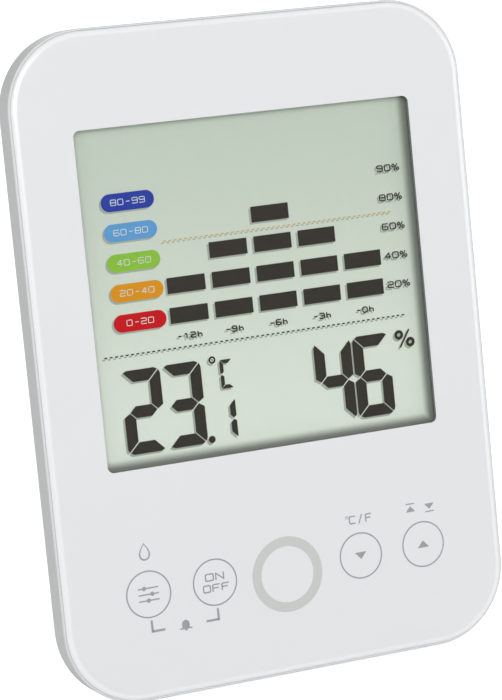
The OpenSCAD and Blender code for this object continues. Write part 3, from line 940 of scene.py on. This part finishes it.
class HYGRO_OT_shadows(bpy.types.Operator):
    """Faint shadow that everything on the display throws on the layer behind it."""

    bl_idname = "hygro.shadows"
    bl_label = "Display shadows"

    def execute(self, context):
        looks = context.scene.display_looks
        parts = [o for o in context.scene.objects if o.name.endswith("_shade")]
        if not parts:
            raise RuntimeError("the display's contents have to be drawn before their shadows")
        made = join(parts, "display_shadows")
        stand_up(made, "display_shadows", CASE, ink("segment_shadow", looks.ghost))
        return {"FINISHED"}


# The touch springs stand behind the keys, so the row follows them, a little to the right
SPRING_R, INNER_KEY_X, KEYS_ASIDE = mm(3.85, 15, 0.06)


class HYGRO_OT_key_prints(bpy.types.Operator):
    """Circles, arrows and signs printed on the front plate."""

    bl_idname = "hygro.key_prints"
    bl_label = "Key prints"

    def execute(self, context):
        looks = context.scene.plate_looks
        outer_key_x = SPRINGS[1].x - SPRING_R
        xs = [KEYS_ASIDE + x for x in (-outer_key_x, -INNER_KEY_X, INNER_KEY_X, outer_key_x)]
        y = (SPRINGS[0].y + SPRINGS[1].y) / 2
        circles = [flat_ring("circle", x, y, looks.key_r, looks.line, steps=64) for x in xs]
        arrows = [self.arrow(x, y, 1.8 * MM, up) for x, up in ((xs[2], -1), (xs[3], 1))]
        drawn = circles + arrows + self.switch(xs[1], y) + self.bracket(xs, 1.6 * looks.line)
        prints = join(drawn + self.signs(xs, y), "key_prints")
        turn_flat(prints, context.scene.display_looks.tilt, y)
        seat(prints, PLATE[1].z - looks.ink_t / 2, looks.ink_t)
        stand_up(prints, "key_prints", CASE, ink("print_grey", looks.ink))
        return {"FINISHED"}

    def switch(self, x, y, rise=1.05 * MM, size=1.5 * MM, line=0.25 * MM):
        """The two states that a key switches between, one over the other."""
        return [lettering("on", "ON", x, y + rise, 1.8 * MM, size, line),
                lettering("off", "OFF", x + 0.12 * MM, y - rise, 1.6 * MM, size, line)]

    def arrow(self, x, y, size, up):
        """Small triangle that points up or down."""
        piece = flat_disc("arrow", 0, 0, size * 0.62, steps=3)
        piece.data.transform(Matrix.Rotation(0 if up > 0 else math.pi, 4, "Z"))
        piece.data.transform(Matrix.Diagonal((1.25, 0.8, 1, 1)))
        return shift(piece, x, y - up * size * 0.11)

    def bracket(self, xs, thin, low=12.8 * MM, high=15.1 * MM, reach=2.5 * MM):
        """Bracket that ties the two left keys together, open in the middle."""
        parts = []
        for x, end in ((xs[0], xs[0] + reach), (xs[1], xs[1] - reach)):
            parts.append(sheet("tie", x - thin / 2, x + thin / 2, low, high))
            parts.append(sheet("tie", min(x, end), max(x, end), low, low + thin))
        return parts

    def drop(self, x, y, radius):
        """Outline of a drop: a ring whose top is drawn up to a point."""
        piece = flat_ring("drop", x, y, radius, 0.3 * MM, steps=24)
        edit_all(piece, "VERT")
        bpy.ops.mesh.select_all(action="DESELECT")
        bpy.ops.object.mode_set(mode="OBJECT")
        for v in piece.data.vertices:
            v.select = abs(v.co.x - x) < 0.01 * MM and v.co.y > y
        bpy.ops.object.mode_set(mode="EDIT")
        bpy.ops.transform.translate(value=(0, radius, 0), use_proportional_edit=True,
                                    proportional_edit_falloff="SHARP", proportional_size=1.5 * radius)
        return closed(piece)

    def half_disc(self, name, x, y, radius, steps, up):
        """Flat half disc that lies above or below a level."""
        piece = flat_disc(name, x, y, radius, steps)
        edit_all(piece)
        cut(x, y, 0, -up)
        return closed(piece)

    def bell(self, x, y, width):
        """Bell: a dome, its skirt, its lip and a clapper, one below the other."""
        top, foot = y + 0.7 * width, y - 0.28 * width
        return [self.half_disc("bell", x, top, 0.75 * width, 20, 1),
                sheet("skirt", x - 0.75 * width, x + 0.75 * width, y, top),
                sheet("lip", x - 1.2 * width, x + 1.2 * width, foot, y),
                self.half_disc("clapper", x, foot, 0.3 * width, 16, -1)]

    def sliders(self, x, y, reach=2 * MM, rise=1.15 * MM, thin=0.26 * MM, knob=0.42 * MM):
        """Three lines, one below the other, each broken by a round knob."""
        made = []
        for i, offset in enumerate((-0.8, 0.7, -0.1)):
            bar_y = y + rise * (1 - i)
            knob_x = x + offset * MM
            for end in (x - reach, x + reach):
                near = knob_x + math.copysign(knob, end - knob_x)
                made.append(level_bar("slider", near, end, bar_y, thin))
            made.append(flat_disc("knob", knob_x, bar_y, knob, steps=16))
        return made

    def limits(self, x, y, aside=2 * MM, drop=1 * MM, reach=0.9 * MM, thin=0.24 * MM):
        """Arrow up to a bar for the highest reading, and arrow down to one for the lowest."""
        made = []
        for side in (-1, 1):
            at = x + side * aside
            made.append(self.arrow(at, y, 1.5 * MM, -side))
            made.append(level_bar("limit", at - reach, at + reach, y - side * drop, thin))
        return made

    def signs(self, xs, y):
        """Plain signs in the places of words: sliders, drop, bell, unit and limits."""
        made = self.sliders(xs[0], y)
        made.append(self.drop(xs[0], y + 7.4 * MM, radius=1.1 * MM))
        made += self.bell((xs[0] + xs[1]) / 2, 12.6 * MM, width=1 * MM)
        made.append(lettering("unit", "C/F", xs[2] + 0.6 * MM, y + 7 * MM, *mm(1.4, 1.6, 0.25, 0.3)))
        made.append(flat_ring("degree", xs[2] - 2.2 * MM, y + 7.6 * MM, *mm(0.3, 0.12), steps=16))
        return made + self.limits(xs[3], y + 7.1 * MM)


class HYGRO_OT_moulded_parts(bpy.types.Operator):
    """Finish of the case, back cover, battery door, stand and light ring."""

    bl_idname = "hygro.moulded_parts"
    bl_label = "Moulded parts"

    def execute(self, context):
        looks = context.scene.plate_looks
        body = moulded("case_satin", looks.moulded)
        for node in ("case_frame", "rear_cover", "battery_door", "stand"):
            paint_node(node, body)
        satin = moulded("ring_satin", looks.ring, 0.35, *mm(0.5, 0.004, 0.05), variation=0.01)
        paint_node("light_ring", satin)
        paint_node("panel_tape", moulded("tape_grey", shade(150, 152, 154), roughness=0.7))
        return {"FINISHED"}


# Plain finishes inside the case: colour as a screen shows it, and roughness
INNER_FINISHES = {
    "lcd_holder": ((238, 238, 236), 0.5), "light_guide": ((240, 242, 240), 0.3),
    "zebra_strip": ((70, 70, 72), 0.7), "circuit_board": ((24, 104, 62), 0.35),
    "main_chip": ((34, 35, 37), 0.5), "capacitors": ((176, 140, 98), 0.45),
    "humidity_sensor": ((236, 236, 232), 0.5), "thermistor": ((28, 28, 30), 0.35),
    "piezo_buzzer": ((26, 26, 28), 0.45), "status_leds": ((246, 238, 190), 0.3),
}
STEEL_NODES = ("touch_springs", "battery_springs", "battery_plates", "case_screws", "board_screws",
               "quartz_crystal")


class HYGRO_OT_inner_parts(bpy.types.Operator):
    """Finish of what the case holds: board, sensors, contacts, cells and screws."""

    bl_idname = "hygro.inner_parts"
    bl_label = "Inner parts"

    def execute(self, context):
        for node, (rgb, roughness) in INNER_FINISHES.items():
            finish = moulded(node + "_finish", shade(*rgb), roughness, edge=0.1 * MM, variation=0.05)
            paint_node(node, finish)
        for node, toward in (("battery_cell_1", 1), ("battery_cell_2", -1)):
            paint_node(node, cell_wrap(node + "_wrap", node, toward))
        bright = metal("spring_steel", shade(196, 198, 200), 0.28)
        for node in STEEL_NODES:
            paint_node(node, bright)
        return {"FINISHED"}


# Place, width and height of each lamp in metres, and the point that all of them look at
LAMPS = {
    "key": ((-0.48, -1.33, 0.81), 1.0, 0.8),
    "side": ((1.4, -0.75, 0.28), 1.5, 0.8),
    "edge": ((-1.0, -0.55, 0.35), 0.12, 0.7),
    "back": ((0.6, 1.45, 0.95), 1.2, 1.0),
}
LAMP_TARGET = Vector((0, 0, 0.06))
CAMERA_TARGET = Vector((-2.784, -7.286, 61.223)) * MM

# Size and grey of the floor, and how much it glows, for the camera alone
FLOOR_SIZE = 6
FLOOR_GREY = (0.78, 0.78, 0.78)
FLOOR_GLOW = 0.8
WHITE = (1, 1, 1, 1)


class HYGRO_OT_stage(bpy.types.Operator):
    """Pale floor, soft light and the camera."""

    bl_idname = "hygro.stage"
    bl_label = "Stage"

    def execute(self, context):
        looks = context.scene.stage_looks
        self.floor()
        for name, (place, width, height) in LAMPS.items():
            self.lamp(name + "_lamp", place, width, height, getattr(looks, name + "_light"))
        self.camera(context, looks)
        self.sky(context, looks)
        context.scene.view_settings.view_transform = "Standard"
        return {"FINISHED"}

    def floor(self):
        """Large pale floor with a faint unevenness."""
        floor = plane("floor", (0, 0, 0), FLOOR_SIZE, FLOOR_SIZE)
        made, tree, shader = new_material("floor_white")
        seen = add_node(tree, "LightPath").outputs["Is Camera Ray"]
        set_up(shader, {
            "Base Color": mottle(tree, own_place(tree), FLOOR_GREY, size=0.2, depth=0.003),
            "Roughness": 0.9,
            "Specular IOR Level": 0,
            "Emission Color": WHITE,
            "Emission Strength": compute(tree, "MULTIPLY", seen, FLOOR_GLOW),
        })
        floor.data.materials.append(made)

    def lamp(self, name, place, width, height, power):
        """Rectangular lamp that looks at the case."""
        bpy.ops.object.light_add(type="AREA", location=place)
        lamp = bpy.context.active_object
        lamp.name = name
        lamp.data.shape = "RECTANGLE"
        lamp.data.size = width
        lamp.data.size_y = height
        lamp.data.energy = power
        lamp.rotation_euler = (Vector(place) - LAMP_TARGET).to_track_quat("Z", "Y").to_euler()

    def sky(self, context, looks):
        """Even light from all round, which the camera sees as white."""
        world = context.scene.world or bpy.data.worlds.new("studio")
        context.scene.world = world
        world.use_nodes = True
        tree = world.node_tree
        light = set_up(tree.nodes["Background"], {"Color": WHITE, "Strength": looks.sky})
        white = add_node(tree, "Background", {"Color": WHITE, "Strength": 1.0})
        path = add_node(tree, "LightPath").outputs
        seen = compute(tree, "MAXIMUM", path["Is Camera Ray"], path["Is Transmission Ray"])
        mix = add_node(tree, "MixShader", {0: seen, 1: light.outputs[0], 2: white.outputs[0]})
        set_up(tree.nodes["World Output"], {"Surface": mix.outputs[0]})

    def camera(self, context, looks):
        """Camera at a distance from the middle of the case, turned and raised."""
        turn = Matrix.Rotation(looks.azimuth, 4, "Z")
        turn = turn @ Matrix.Rotation(math.pi / 2 - looks.elevation, 4, "X")
        turn = turn @ Matrix.Rotation(looks.roll, 4, "Z")
        back = Matrix.Translation((0, 0, looks.distance))
        bpy.ops.object.camera_add()
        camera = bpy.context.active_object
        camera.matrix_world = Matrix.Translation(CAMERA_TARGET) @ turn @ back
        camera.data.lens = looks.lens
        camera.data.clip_start = 0.01
        context.scene.camera = camera


OPERATORS = (HYGRO_OT_front_plate, HYGRO_OT_pane, HYGRO_OT_display_film, HYGRO_OT_digits, HYGRO_OT_chart,
             HYGRO_OT_comfort_bands, HYGRO_OT_shadows, HYGRO_OT_key_prints, HYGRO_OT_moulded_parts,
             HYGRO_OT_inner_parts, HYGRO_OT_stage)
GROUPS = {"plate_looks": PlateLooks, "display_looks": DisplayLooks, "stage_looks": StageLooks}


class HYGRO_PT_looks(bpy.types.Panel):
    """Lists the operators and the settings that they read."""

    bl_label = "Thermo-hygrometer"
    bl_idname = "HYGRO_PT_looks"
    bl_space_type = "VIEW_3D"
    bl_region_type = "UI"
    bl_category = "Hygrometer"

    def draw(self, context):
        for operator in OPERATORS:
            self.layout.operator(operator.bl_idname)
        for name, group in GROUPS.items():
            box = self.layout.box()
            for key in group.__annotations__:
                box.prop(getattr(context.scene, name), key)


def register():
    for made in (*GROUPS.values(), *OPERATORS, HYGRO_PT_looks):
        bpy.utils.register_class(made)
    for name, group in GROUPS.items():
        setattr(bpy.types.Scene, name, PointerProperty(type=group))


def unregister():
    for name in GROUPS:
        delattr(bpy.types.Scene, name)
    for made in (HYGRO_PT_looks, *reversed(OPERATORS), *GROUPS.values()):
        bpy.utils.unregister_class(made)


def main():
    register()
    for operator in OPERATORS:
        group, name = operator.bl_idname.split(".")
        getattr(getattr(bpy.ops, group), name)()


if __name__ == "__main__":
    main()
